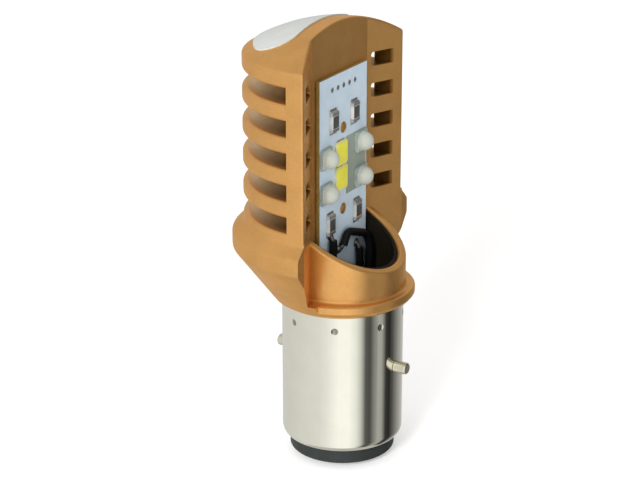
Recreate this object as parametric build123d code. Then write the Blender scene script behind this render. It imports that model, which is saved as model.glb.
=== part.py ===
from build123d import *
import math
import os

# Lengths are in millimetres and angles in degrees.
# The origin lies on the bulb's axis, in the plane of the two bayonet pins.
# +Z runs up the axis to the domed top, and the light leaves towards -Y.

# Clearances between pieces that fit together
slip_gap = 0.05
seat_gap = 0.02

# Bayonet shell
shell_radius = 10.0
shell_wall = 0.4
shell_top = 10.5
shell_straight_end = -12.2
lip_outer_radius = 1.65
lip_sweep = 70.0
stake_count = 8
stake_height = 8.1
stake_ball_radius = 0.9
stake_depth = 0.25

# Bayonet pins
pin_radius = 1.0
pin_stand_out = 2.3
pin_tip_round = 0.35
pin_shank_radius = 0.7
pin_flange_radius = 1.5
pin_flange_thickness = 0.3

# Insulator disc and base contacts
insulator_top = -11.9
insulator_bottom = -16.1
insulator_edge_round = 0.5
contact_inset = 5.8
contact_stem_radius = 1.2
contact_head_radius = 2.1
contact_height = 0.7
contact_round = 0.5

# Heat sink casting: outer form
fin_radius = 16.1
dome_top = 56.8
dome_radius = 30.0
shoulder_round = 0.6
bead_radius = 18.0
bead_low = 20.0
bead_high = 22.6
bead_round = 1.0
neck_height = 24.5
neck_round = 0.8
cone_foot_overhang = 1.4
cone_foot_rise = 0.7
foot_overhang = 0.25
spigot_length = 5.0

# Heat sink casting: trough front, collar and tube
trough_floor = 13.0
web_margin = 1.25
trough_round = 0.6
wing_front = -2.2
collar_overhang = 1.85
collar_round = 0.5
bore_step = 0.7
bore_roof = 13.5
tube_wall = 1.4
rim_height = 22.7
rim_tilt = 28.5
rim_round = 0.4
tube_root = 1.0
tube_foot_round = 0.5
front_edge_round = 0.35

# Heat sink casting: fin slots
slot_count = 5
slot_first = 26.1
slot_pitch = 5.23
slot_height = 2.4
slot_core_radius = 9.65
slot_mouth_round = 0.8
slot_root_round = 0.5
slot_outer_end = 0.9
window_outer = 13.95
strip_back = 2.2

# Label on the dome
label_thickness = 0.2
label_radius = 14.3
label_front = 4.0
label_corner = 3.6

# Light board
board_clearance = 0.83
board_thickness = 0.6
board_bottom = 11.5
board_top = 48.6
pad_thickness = 0.15
pad_margin = 0.3
peg_heights = (25.7, 39.4)
peg_radius = 0.65
peg_head_radius = 0.95
peg_head_height = 0.3

# Lights on the board
led_rows = (35.7, 29.8)
led_inset = 1.93
led_base_side = 3.45
led_base_thickness = 0.45
led_base_corner = 0.3
lens_radius = 1.6
lens_rim = 0.25
yellow_rows = (35.4, 31.25)
yellow_middle = -0.95
yellow_width = 3.4
yellow_length = 4.0
yellow_thickness = 0.45
yellow_chamfer = 0.35
resistor_width = 2.0
resistor_length = 3.2
resistor_thickness = 0.6
resistor_edge = 0.1
upper_resistor_inset = 4.2
upper_resistor_height = 41.2
lower_resistor_inset = 3.2
lower_resistor_height = 24.2

# Leads from the board to the driver
lead_radius = 0.65
lead_fold = 0.45
lead_end_height = 1.0
lead_bend_height = 4.0
lead_mouth_height = 9.2
lead_inset = 3.2
lead_sway = 0.2
common_joint = (-1.0, 19.7)
common_crest = (0.2, 21.8)
common_turn_inset = 1.4
common_turn_height = 19.7
common_drop_inset = 0.8
common_drop_height = 16.5
common_end_inset = 1.3
common_lift = 0.1
high_joint_height = 17.6
low_joint_height = 21.6

# Liner sleeve
sleeve_wall = 0.5
sleeve_set_back = 0.5
notch_width = 1.4
notch_height = 3.0

# Driver inside the sleeve
driver_thickness = 1.0
driver_top = 9.0
driver_set_back = 0.1
chip_size = (5.0, 1.5, 4.0)
chip_height = -1.0
inductor_size = (7.0, 3.5, 7.0)
inductor_corner = 1.2
inductor_height = -0.5
capacitor_radius = 2.5
capacitor_length = 7.0
capacitor_bottom = -11.5
capacitor_round = 0.4
diode_size = (4.2, 2.0, 2.6)
diode_height = 5.6
thin_lead_radius = 0.4
contact_lead_top = -4.0
ground_lead_height = -10.0

# Sizes that follow from the ones above
shell_inner_radius = shell_radius - shell_wall
spigot_radius = shell_inner_radius - slip_gap
pin_tip_reach = shell_radius + pin_stand_out
contact_offset = shell_radius - contact_inset
cone_foot_radius = shell_radius + cone_foot_overhang
collar_radius = shell_radius + collar_overhang
bore_radius = shell_inner_radius - bore_step
tube_radius = bore_radius + tube_wall
sleeve_radius = bore_radius - slip_gap
sleeve_inner_radius = sleeve_radius - sleeve_wall
board_half_width = math.sqrt(sleeve_inner_radius ** 2 - board_thickness ** 2) - board_clearance
web_half_width = board_half_width + web_margin
web_face = board_thickness + pad_thickness
wing_tip = math.sqrt(fin_radius ** 2 - wing_front ** 2)
wing_slope = (wing_front - web_face) / (wing_tip - web_half_width)
driver_front = board_thickness + driver_set_back
driver_back = driver_front + driver_thickness
driver_bottom = insulator_top
lead_face = -(lead_radius + seat_gap)
driver_lead_face = driver_front - lead_radius - seat_gap
far_out = 3 * bead_radius


def rounded(face, points, rounds):
    """The face with some of its corners rounded; rounds lists (corner number, radius)."""
    for number, radius in rounds:
        corner = face.vertices().sort_by_distance(points[number])[0]
        face = fillet(corner, radius)
    return face


def in_section(corners):
    """Points of the half section in the XZ plane, from (radius, height) pairs."""
    return [(radius, 0, height) for radius, height in corners]


def cap_arc(radius, base, tip):
    """Arc of a dome from its rim at (radius, base) to its tip on the axis."""
    rise = tip - base
    ball = (radius ** 2 + rise ** 2) / (2 * abs(rise))
    half = radius / 2
    drop = ball - math.sqrt(ball ** 2 - half ** 2)
    return ThreePointArc((radius, 0, base), (half, 0, tip - math.copysign(drop, rise)), (0, 0, tip))


def corner_arc(start, end, centre):
    """Quarter turn of a round corner, in the half section, between two points."""
    radius = math.dist(start, centre)
    way = Vector(start[0] + end[0] - 2 * centre[0], start[1] + end[1] - 2 * centre[1]).normalized()
    middle = (centre[0] + way.X * radius, centre[1] + way.Y * radius)
    return ThreePointArc(*in_section([start, middle, end]))


def plate(outline, low, high):
    """Upright prism on a plan outline between two heights."""
    return Pos(0, 0, low) * extrude(make_face(Polyline(*outline, close=True)), high - low)


def block(x, y, z):
    """Box between two limits on each axis."""
    size = (x[1] - x[0], y[1] - y[0], z[1] - z[0])
    middle = (sum(x) / 2, sum(y) / 2, sum(z) / 2)
    return Pos(*middle) * Box(*size)


def rod(radius, start, end):
    """Round bar between two points."""
    path = Vector(*end) - Vector(*start)
    base = Plane(origin=start, z_dir=path)
    return extrude(base * Circle(radius), path.length)


def along_y(profile, x, z, y=0.0):
    """Turned piece standing out of the board: its axis points to -Y at (x, z)."""
    return Pos(x, y, z) * Rot(90, 0, 0) * revolve(profile, Axis.Z)


def wing_face(x):
    """How far forward the wing's face lies at a distance x from the middle."""
    return web_face + (x - web_half_width) * wing_slope


# Heat sink

def trough_cut():
    """Everything in front of the web and the two wings, above the collar."""
    right = [
        (far_out, -far_out, 0),
        (far_out, wing_front, 0),
        (wing_tip, wing_front, 0),
        (web_half_width, web_face, 0),
    ]
    left = [(-x, y, z) for x, y, z in reversed(right)]
    points = right + left
    plan = rounded(make_face(Polyline(*points, close=True)), points, ((3, trough_round), (4, trough_round)))
    return Pos(0, 0, trough_floor) * extrude(plan, dome_top - trough_floor + 1)


def foot_body():
    """Turned lower half of the casting: spigot, cone, bead and neck, cut open in front."""
    points = in_section([
        (0, shell_top - spigot_length),
        (spigot_radius, shell_top - spigot_length),
        (spigot_radius, shell_top),
        (shell_radius + foot_overhang, shell_top),
        (cone_foot_radius, shell_top + cone_foot_rise),
        (bead_radius, bead_low),
        (bead_radius, bead_high),
        (fin_radius, neck_height),
        (fin_radius, dome_top),
        (0, dome_top),
    ])
    rounds = ((5, bead_round), (6, bead_round), (7, neck_round))
    turned = revolve(rounded(make_face(Polyline(*points, close=True)), points, rounds), Axis.Z)
    slope = math.atan2(bead_radius - fin_radius, neck_height - bead_high)
    neck_end = neck_height + neck_round * math.tan(slope / 2)
    return split(turned, Plane.XY.offset(neck_end), Keep.BOTTOM) - trough_cut() - collar_trim()


def fin_body():
    """Turned upper half of the casting, cut open in front, with its front edge rounded."""
    shoulder = dome_top - dome_radius + math.sqrt(dome_radius ** 2 - fin_radius ** 2)
    points = in_section([(fin_radius, shoulder), (fin_radius, bead_high), (0, bead_high), (0, dome_top)])
    outline = [Polyline(*points), cap_arc(fin_radius, shoulder, dome_top)]
    turned = revolve(rounded(make_face(outline), points, [(0, shoulder_round)]), Axis.Z)
    opened = turned - trough_cut()
    side_edge = opened.edges().sort_by_distance((wing_tip, wing_front, neck_height))[0]
    return fillet(side_edge, front_edge_round)


def collar_trim():
    """Ring that trims the front of the cone to a round-edged collar."""
    inset = collar_radius - collar_round
    crest = trough_floor - collar_round
    outline = [
        corner_arc((collar_radius, crest), (inset, trough_floor), (inset, crest)),
        Polyline(*in_section([
            (inset, trough_floor), (inset, bead_high), (far_out, bead_high),
            (far_out, shell_top), (collar_radius, shell_top), (collar_radius, crest),
        ])),
    ]
    ring = revolve(make_face(outline), Axis.Z)
    front = block((-far_out, far_out), (-far_out, wing_front), (shell_top, bead_high))
    return ring & front


def slot_plan():
    """Keeps the slots out of the two front strips, whose backs slant in behind the windows."""
    outer = Vector(math.sqrt(fin_radius ** 2 - slot_outer_end ** 2), slot_outer_end)
    inner = Vector(window_outer, strip_back)
    beyond = outer + (outer - inner)
    right = [
        (window_outer, -far_out),
        (far_out, -far_out),
        (far_out, beyond.Y),
        (beyond.X, beyond.Y),
        (inner.X, inner.Y),
    ]
    left = [(-x, y) for x, y in reversed(right)]
    return right, left


def fin_slots():
    """Ring slots between the fins, open at the back and through the wings."""
    low = slot_first
    high = slot_first + slot_height
    core = slot_core_radius
    root = core + slot_root_round
    mouth = fin_radius - slot_mouth_round
    outside = bead_radius + 1
    top = high + slot_mouth_round
    bottom = low - slot_mouth_round
    root_top = high - slot_root_round
    root_bottom = low + slot_root_round
    outline = [
        Line(*in_section([(core, root_bottom), (core, root_top)])),
        corner_arc((core, root_top), (root, high), (root, root_top)),
        Line(*in_section([(root, high), (mouth, high)])),
        corner_arc((mouth, high), (fin_radius, top), (mouth, top)),
        Polyline(*in_section([(fin_radius, top), (outside, top), (outside, bottom), (fin_radius, bottom)])),
        corner_arc((fin_radius, bottom), (mouth, low), (mouth, bottom)),
        Line(*in_section([(mouth, low), (root, low)])),
        corner_arc((root, low), (core, root_bottom), (root, root_bottom)),
    ]
    ring = revolve(make_face(outline), Axis.Z)
    for strip in slot_plan():
        ring -= plate(strip, low - slot_height, high + slot_height)
    return [Pos(0, 0, number * slot_pitch) * ring for number in range(slot_count)]


def rim_plane(set_back=0.0):
    """Plane of the tube's slanting rim, lowest at the front; set_back lowers it."""
    tilt = math.radians(rim_tilt)
    return Plane(
        origin=(0, 0, rim_height - set_back / math.cos(tilt)),
        x_dir=(1, 0, 0),
        z_dir=(0, -math.sin(tilt), math.cos(tilt)),
    )


def tube_ring():
    """Tube in front of the board, cut off on the slant, with a rounded rim."""
    low = trough_floor - tube_root
    height = 2 * rim_height
    ring = extrude(Circle(tube_radius) - Circle(bore_radius), height)
    ring = split(Pos(0, 0, low) * ring, rim_plane(), Keep.BOTTOM)
    rim = [edge for edge in ring.edges() if edge.center().Z > low + tube_root and edge.is_closed]
    wall_middle = bore_radius + tube_wall / 2
    foot_radius = tube_radius + tube_foot_round
    foot_top = trough_floor + tube_foot_round
    foot = [
        Polyline(*in_section([
            (tube_radius, foot_top), (wall_middle, foot_top), (wall_middle, low),
            (foot_radius, low), (foot_radius, trough_floor),
        ])),
        corner_arc((foot_radius, trough_floor), (tube_radius, foot_top), (foot_radius, foot_top)),
    ]
    return fillet(rim, rim_round) + revolve(make_face(foot), Axis.Z)


def board_pegs():
    """Two pegs cast with the web, peened over the board."""
    pegs = []
    for height in peg_heights:
        stem = rod(peg_radius, (0, web_face + peg_radius, height), (0, 0, height))
        outline = [
            Polyline((0, 0, peg_head_height), (0, 0, 0), (peg_head_radius, 0, 0)),
            cap_arc(peg_head_radius, 0, peg_head_height),
        ]
        pegs.append(stem + along_y(make_face(outline), 0, height))
    return pegs


def heat_sink():
    casting = foot_body() + fin_body()
    spigot_end = shell_top - spigot_length
    casting -= rod(bore_radius, (0, 0, spigot_end - 1), (0, 0, bore_roof))
    casting += tube_ring()
    for slot in fin_slots():
        casting -= slot
    for peg in board_pegs():
        casting += peg
    return casting


def top_label():
    """Thin sticker that follows the dome, straight in front and round behind."""
    disc = Circle(label_radius) & Pos(0, label_front + far_out) * Rectangle(2 * far_out, 2 * far_out)
    outline = fillet(disc.vertices(), label_corner)
    column = Pos(0, 0, dome_top - dome_radius) * extrude(outline, 2 * dome_radius)
    middle = Pos(0, 0, dome_top - dome_radius)
    skin = middle * Sphere(dome_radius + label_thickness) - middle * Sphere(dome_radius)
    return skin & column


# Light board

def led_board():
    half = board_half_width
    board = block((-half, half), (0, board_thickness), (board_bottom, board_top))
    for height in peg_heights:
        board -= rod(peg_radius + slip_gap, (0, -1, height), (0, board_thickness + 1, height))
    return board


def thermal_pad():
    half = board_half_width - pad_margin
    high = board_top - pad_margin
    pad = block((-half, half), (board_thickness, web_face), (bore_roof, high))
    for height in peg_heights:
        pad -= rod(peg_radius + slip_gap, (0, 0, height), (0, web_face + 1, height))
    return pad


def led_base(x, z):
    half = led_base_side / 2
    base = block((x - half, x + half), (-led_base_thickness, 0), (z - half, z + half))
    return fillet(base.edges().filter_by(Axis.Y), led_base_corner)


def led_lens(x, z):
    tip = lens_rim + lens_radius
    outline = [
        Polyline((0, 0, tip), (0, 0, 0), (lens_radius, 0, 0), (lens_radius, 0, lens_rim)),
        cap_arc(lens_radius, lens_rim, tip),
    ]
    return along_y(make_face(outline), x, z, -led_base_thickness)


def yellow_led(z):
    left = yellow_middle - yellow_width / 2
    low = z - yellow_length / 2
    chip = block((left, left + yellow_width), (-yellow_thickness, 0), (low, low + yellow_length))
    return chamfer(chip.edges().filter_by(Axis.Y), yellow_chamfer)


def resistor(x, z):
    half_width = resistor_width / 2
    half_length = resistor_length / 2
    body = block(
        (x - half_width, x + half_width), (-resistor_thickness, 0), (z - half_length, z + half_length)
    )
    return chamfer(body.faces().sort_by(Axis.Y)[0].edges(), resistor_edge)


# Leads

def lead(points):
    """Insulated lead along straight runs joined by arcs as large as the runs allow."""
    route = [Vector(*point) for point in points]
    radii = []
    for before, here, after in zip(route, route[1:], route[2:]):
        turn = math.radians((here - before).get_angle(after - here))
        shorter = min((here - before).length, (after - here).length)
        radii.append(lead_fold * shorter / math.tan(turn / 2))
    path = FilletPolyline(*route, radius=radii)
    return sweep(Plane(origin=path @ 0, z_dir=path % 0) * Circle(lead_radius), path)


def lead_common():
    """Hooks up from its joint in the middle and down beside the board's edge."""
    joint_x, joint_z = common_joint
    crest_x, crest_z = common_crest
    end_x = board_half_width - common_end_inset
    return lead([
        (joint_x, lead_face, joint_z),
        (crest_x, lead_face - common_lift, crest_z),
        (board_half_width - common_turn_inset, lead_face - 3 * common_lift, common_turn_height),
        (board_half_width - common_drop_inset, lead_face - 8 * common_lift, common_drop_height),
        (end_x + lead_sway, lead_face - common_lift, lead_mouth_height),
        (end_x, driver_lead_face, lead_bend_height),
        (end_x - lead_sway / 2, driver_lead_face, lead_end_height),
    ])


def side_lead(side, joint_height):
    """Runs straight down from its joint near the board's edge: side is -1 on the left."""
    x = board_half_width - lead_inset
    points = [
        (x, lead_face, joint_height),
        (x + lead_sway, lead_face, lead_mouth_height),
        (x, driver_lead_face, lead_bend_height),
        (x - lead_sway / 2, driver_lead_face, lead_end_height),
    ]
    return lead([(side * place, y, z) for place, y, z in points])


# Liner and driver

def liner_sleeve():
    """Insulating sleeve: stands on the insulator and lines the tube up to its slanting rim."""
    ring = extrude(Circle(sleeve_radius) - Circle(sleeve_inner_radius), 2 * far_out)
    ring = split(Pos(0, 0, insulator_top) * ring, rim_plane(sleeve_set_back), Keep.BOTTOM)
    behind = block((-far_out, far_out), (web_face - slip_gap, far_out), (bore_roof - slip_gap, far_out))
    half = notch_width / 2
    notch = block((-half, half), (0, far_out), (insulator_top, insulator_top + notch_height))
    return ring - behind - notch


def driver_board():
    half = math.sqrt(sleeve_inner_radius ** 2 - driver_back ** 2) - slip_gap
    return block((-half, half), (driver_front, driver_back), (driver_bottom, driver_top))


def driver_chip():
    width, depth, height = chip_size
    low = chip_height - height / 2
    body = block((-width / 2, width / 2), (driver_front - depth, driver_front), (low, low + height))
    return chamfer(body.faces().sort_by(Axis.Y)[0].edges(), depth / 8)


def driver_inductor():
    width, depth, height = inductor_size
    low = inductor_height - height / 2
    body = block((-width / 2, width / 2), (driver_back, driver_back + depth), (low, low + height))
    return fillet(body.edges().filter_by(Axis.Y), inductor_corner)


def driver_capacitor():
    y = driver_front - capacitor_radius - seat_gap
    top = capacitor_bottom + capacitor_length
    can = rod(capacitor_radius, (0, y, capacitor_bottom), (0, y, top))
    return fillet(can.edges().group_by(Axis.Z)[-1], capacitor_round)


def driver_diode():
    width, depth, height = diode_size
    low = diode_height - height / 2
    body = block((-width / 2, width / 2), (driver_back, driver_back + depth), (low, low + height))
    return chamfer(body.faces().sort_by(Axis.Y)[-1].edges(), depth / 8)


def contact_lead(side):
    x = side * contact_offset
    y = driver_front - thin_lead_radius - seat_gap
    return rod(thin_lead_radius, (x, y, insulator_top), (x, y, contact_lead_top))


def ground_lead():
    end = math.sqrt(shell_inner_radius ** 2 - thin_lead_radius ** 2) - seat_gap
    return rod(thin_lead_radius, (0, driver_back, ground_lead_height), (0, end, ground_lead_height))


# Bayonet base

def lip_point(radius, angle):
    """Point on the rolled lower edge: radius from the roll's centre, angle below level."""
    turn = math.radians(angle)
    centre = shell_radius - lip_outer_radius
    return (centre + radius * math.cos(turn), 0, shell_straight_end - radius * math.sin(turn))


def base_shell():
    lip_inner = lip_outer_radius - shell_wall
    outline = [
        Line((shell_inner_radius, 0, shell_top), (shell_radius, 0, shell_top)),
        Line((shell_radius, 0, shell_top), lip_point(lip_outer_radius, 0)),
        ThreePointArc(
            lip_point(lip_outer_radius, 0),
            lip_point(lip_outer_radius, lip_sweep / 2),
            lip_point(lip_outer_radius, lip_sweep),
        ),
        Line(lip_point(lip_outer_radius, lip_sweep), lip_point(lip_inner, lip_sweep)),
        ThreePointArc(
            lip_point(lip_inner, lip_sweep),
            lip_point(lip_inner, lip_sweep / 2),
            lip_point(lip_inner, 0),
        ),
        Line(lip_point(lip_inner, 0), (shell_inner_radius, 0, shell_top)),
    ]
    shell = revolve(make_face(outline), Axis.Z)
    shell -= rod(pin_shank_radius + seat_gap, (0, -far_out, 0), (0, far_out, 0))
    reach = shell_radius + stake_ball_radius - stake_depth
    for number in range(stake_count):
        turn = (number + 0.5) * 360 / stake_count
        shell -= Rot(0, 0, turn) * Pos(reach, 0, stake_height) * Sphere(stake_ball_radius)
    return shell


def bayonet_pin(side):
    """Turned pin riveted through the shell: side is -1 in front and 1 at the back."""
    flange_face = math.sqrt(shell_inner_radius ** 2 - pin_flange_radius ** 2) - seat_gap
    shoulder = shell_radius + seat_gap
    points = in_section([
        (0, flange_face - pin_flange_thickness),
        (pin_flange_radius, flange_face - pin_flange_thickness),
        (pin_flange_radius, flange_face),
        (pin_shank_radius, flange_face),
        (pin_shank_radius, shoulder),
        (pin_radius, shoulder),
        (pin_radius, pin_tip_reach),
        (0, pin_tip_reach),
    ])
    face = rounded(make_face(Polyline(*points, close=True)), points, [(6, pin_tip_round)])
    return Rot(-side * 90, 0, 0) * revolve(face, Axis.Z)


def insulator_disc():
    """Black disc whose shoulder sits in the shell's rolled edge."""
    roll = lip_outer_radius - shell_wall - slip_gap
    lip_edge = lip_point(lip_outer_radius - shell_wall, lip_sweep)[0]
    neck = lip_edge - slip_gap
    turn = math.degrees(math.acos((neck - shell_radius + lip_outer_radius) / roll))
    start = lip_point(roll, 0)
    low = insulator_bottom
    edge = insulator_edge_round
    outline = [
        Polyline((0, 0, low), (0, 0, insulator_top), (start[0], 0, insulator_top), start),
        ThreePointArc(start, lip_point(roll, turn / 2), lip_point(roll, turn)),
        Line(lip_point(roll, turn), (neck, 0, low + edge)),
        corner_arc((neck, low + edge), (neck - edge, low), (neck - edge, low + edge)),
        Line((neck - edge, 0, low), (0, 0, low)),
    ]
    disc = revolve(make_face(outline), Axis.Z)
    for x in (-contact_offset, contact_offset):
        disc -= rod(contact_stem_radius + seat_gap, (x, 0, low - 1), (x, 0, insulator_top + 1))
    return disc


def contact(side):
    """Solder contact: a round-edged pad under the disc on a stem through it."""
    tip = insulator_bottom - contact_height
    points = in_section([
        (0, tip),
        (contact_head_radius, tip),
        (contact_head_radius, insulator_bottom),
        (contact_stem_radius, insulator_bottom),
        (contact_stem_radius, insulator_top),
        (0, insulator_top),
    ])
    face = rounded(make_face(Polyline(*points, close=True)), points, [(1, contact_round)])
    return Pos(side * contact_offset, 0, 0) * revolve(face, Axis.Z)


def pieces():
    """Every piece of the bulb by its name."""
    made = {
        "heat_sink": heat_sink(),
        "top_label": top_label(),
        "led_board": led_board(),
        "thermal_pad": thermal_pad(),
    }
    number = 0
    for z in led_rows:
        for x in (led_inset - board_half_width, board_half_width - led_inset):
            number += 1
            made[f"led_base_{number}"] = led_base(x, z)
            made[f"led_lens_{number}"] = led_lens(x, z)
    for name, z in zip(("upper", "lower"), yellow_rows):
        made[f"yellow_led_{name}"] = yellow_led(z)
    resistors = (
        ("upper", upper_resistor_inset, upper_resistor_height),
        ("lower", lower_resistor_inset, lower_resistor_height),
    )
    for name, inset, z in resistors:
        x = board_half_width - inset
        made[f"resistor_{name}_left"] = resistor(-x, z)
        made[f"resistor_{name}_right"] = resistor(x, z)
    made["lead_common"] = lead_common()
    made["lead_high"] = side_lead(1, high_joint_height)
    made["lead_low"] = side_lead(-1, low_joint_height)
    made["liner_sleeve"] = liner_sleeve()
    made["driver_board"] = driver_board()
    made["driver_chip"] = driver_chip()
    made["driver_inductor"] = driver_inductor()
    made["driver_capacitor"] = driver_capacitor()
    made["driver_diode"] = driver_diode()
    made["base_shell"] = base_shell()
    made["bayonet_pin_front"] = bayonet_pin(-1)
    made["bayonet_pin_back"] = bayonet_pin(1)
    made["insulator_disc"] = insulator_disc()
    for name, side in (("left", -1), ("right", 1)):
        made[f"contact_{name}"] = contact(side)
        made[f"contact_lead_{name}"] = contact_lead(side)
    made["ground_lead"] = ground_lead()
    return made


os.makedirs("parts", exist_ok=True)
for name, piece in pieces().items():
    export_step(piece, f"parts/{name}.step")
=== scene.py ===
import math

import bmesh
import bpy
from bpy.props import FloatProperty, FloatVectorProperty, PointerProperty
from bpy.types import NodeSocket, Operator, Panel, PropertyGroup
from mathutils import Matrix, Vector


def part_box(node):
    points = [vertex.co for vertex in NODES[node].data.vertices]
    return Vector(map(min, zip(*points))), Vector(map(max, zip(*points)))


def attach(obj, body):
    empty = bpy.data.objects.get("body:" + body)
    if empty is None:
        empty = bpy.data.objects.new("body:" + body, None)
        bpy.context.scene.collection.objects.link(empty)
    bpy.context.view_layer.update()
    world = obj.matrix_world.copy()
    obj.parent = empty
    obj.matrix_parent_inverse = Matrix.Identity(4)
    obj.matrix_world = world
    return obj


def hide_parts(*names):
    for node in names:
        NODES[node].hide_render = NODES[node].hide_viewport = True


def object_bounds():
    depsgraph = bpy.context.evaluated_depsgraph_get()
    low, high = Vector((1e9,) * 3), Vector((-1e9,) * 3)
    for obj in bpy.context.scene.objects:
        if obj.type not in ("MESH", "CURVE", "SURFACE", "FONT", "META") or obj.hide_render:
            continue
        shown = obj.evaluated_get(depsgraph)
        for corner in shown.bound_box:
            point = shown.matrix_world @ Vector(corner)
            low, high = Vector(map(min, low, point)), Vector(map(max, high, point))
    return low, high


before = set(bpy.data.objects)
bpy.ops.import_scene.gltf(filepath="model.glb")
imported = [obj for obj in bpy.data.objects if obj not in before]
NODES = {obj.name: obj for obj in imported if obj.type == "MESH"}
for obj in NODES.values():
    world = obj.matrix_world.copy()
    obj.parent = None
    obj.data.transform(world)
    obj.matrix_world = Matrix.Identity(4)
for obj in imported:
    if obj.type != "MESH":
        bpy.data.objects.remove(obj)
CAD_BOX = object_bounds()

bl_info = {
    "name": "Bayonet LED Bulb",
    "version": (1, 0, 0),
    "blender": (4, 5, 0),
    "location": "3D View > Sidebar > Bulb",
    "description": "Dresses the solids of a two-pin bayonet LED bulb and sets its studio",
    "category": "Object",
}

# Pieces are modelled in millimetres and brought to metres when they are done.
MM = 0.001


def limits(node):
    """Lowest and highest corner of a solid of the frame, in millimetres."""
    low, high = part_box(node)
    return low / MM, high / MM


BOARD_HIGH = limits("led_board")[1]
SHELL_RADIUS = limits("base_shell")[1].x
FLOOR_LEVEL = CAD_BOX[0].z
LEDS = (1, 2, 3, 4)

# Lengths from here on are in millimetres.
# The casting's wings lie where Y + WING_SLOPE * |X| is WING_LEVEL; its slots lie between two heights.
WING_SLOPE = 0.41
WING_LEVEL = 4.34
SLOTS_LOW = 26.1
SLOTS_HIGH = 49.4

# The slots' painted shade starts this far behind the wings, ends between two distances from the bulb's
# axis and fades out over and under the slots. Its painted light grows between two places on the way to the
# back.
WING_FADE = (0.1, 0.7)
RIM_FADE = (14.0, 15.8)
SLOT_FADE = 0.3
SLOT_LIGHT_RUN = (2.5, 11.5)

# Darker colour in the staking dents: how far inside the shell it is full and gone, and from what height
DENT_FULL = 0.14
DENT_GONE = 0.015
DENT_LEVEL = (6.0, 7.0)

# Bare mask between a yellow chip and the dark sheet beside it that paints the chips' shadow
SHADOW_SHEET_GAP = 0.1

# Point that the camera looks at
AIM = Vector((-1.902, 3.226, 20.169))

# Places closer than NEAR are the same; what lies in front of FOOT stands off the board.
NEAR = 1e-4
FOOT = -0.01


# Sizes and colours

def number(name, description, value, **kind):
    return FloatProperty(name=name, description=description, default=value, **kind)


def length(name, description, millimetres):
    return number(name, description, millimetres * MM, min=0.0, unit="LENGTH", precision=6)


def colour(name, description, red, green, blue):
    return FloatVectorProperty(name=name, description=description, subtype="COLOR", size=3,
                               default=(red, green, blue), min=0.0, max=1.0)


class BulbSizes(PropertyGroup):
    """Sizes of the details that are modelled on top of the solids"""
    package_step: length("Package step", "Set-back of the raised square on an LED package", 0.1)
    package_corner: length("Package corner", "Corner radius of an LED package", 0.3)
    die_side: length("Die side", "Side of the light die under each lens", 1.5)
    chip_frame: length("Chip frame", "Width of the frame round a yellow chip", 0.2)
    chip_chamfer: length("Chip chamfer", "Corner chamfer of a yellow chip", 0.35)
    cap_length: length("End cap", "Length of a resistor's metal end cap", 0.55)
    cap_proud: length("Cap height", "How far an end cap stands over the resistor's body", 0.035)
    fillet_reach: length("Solder fillet", "How far solder runs out from a resistor's end", 0.5)
    pad_height: length("Pad height", "Height of the tinned pads over the board", 0.04)
    pad_margin: length("Pad margin", "How far a pad shows round its component", 0.22)
    mound_radius: length("Solder mound", "Radius of the solder on a lead's joint", 0.75)
    strand_radius: length("Bare strands", "Radius of a lead's bare end", 0.34)
    via_radius: length("Test pad", "Radius of the small round test pads", 0.42)


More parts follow.
